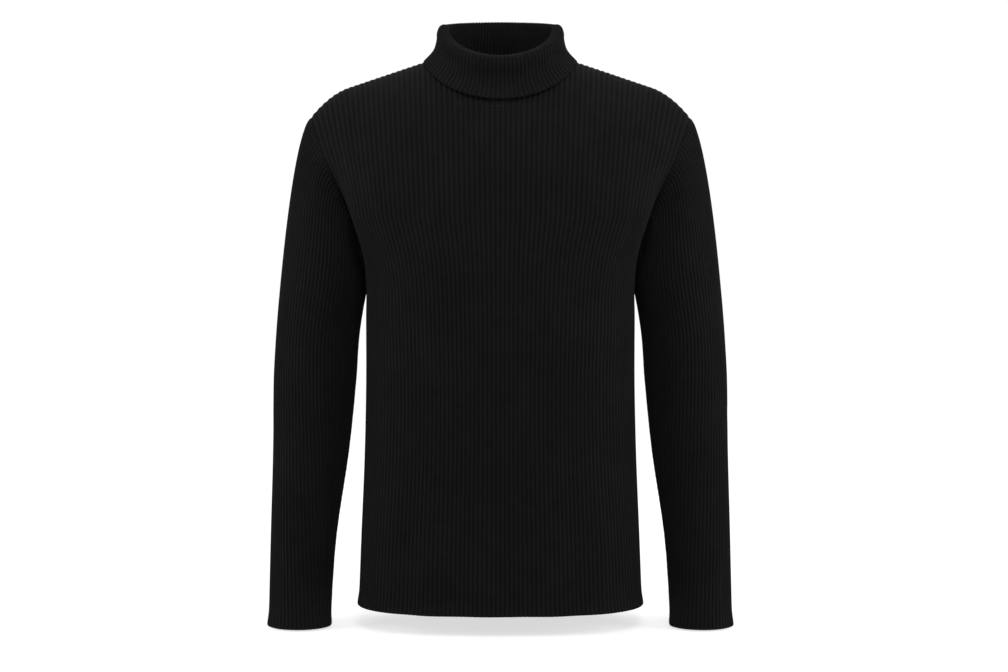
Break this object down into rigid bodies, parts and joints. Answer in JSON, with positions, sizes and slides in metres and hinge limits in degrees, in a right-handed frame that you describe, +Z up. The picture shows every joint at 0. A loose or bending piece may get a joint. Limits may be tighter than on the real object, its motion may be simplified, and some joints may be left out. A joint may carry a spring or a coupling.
{
  "type": "turtleneck sweater",
  "caption": "Slim rib-knit turtleneck sweater with long sleeves and a folded collar, hollow and filled out as if worn, open at the neck, cuffs and hem.",
  "frame": {"origin": "middle of the neck at the height of the high shoulder points, where a wearer's shoulders carry the garment", "axes": "+Z up the body, -Y out of the front, +X towards the left sleeve"},
  "size_m": [0.58, 0.2302, 0.7583],
  "materials": {
    "body_knit": "matt black rib knit",
    "sleeve_knit": "matt black rib knit",
    "collar_knit": "matt black rib knit"
  },
  "bodies": {
    "root": {"front": "body_knit", "back": "body_knit", "sleeve_left": "sleeve_knit", "sleeve_right": "sleeve_knit", "collar": "collar_knit"}
  },
  "joints": []
}
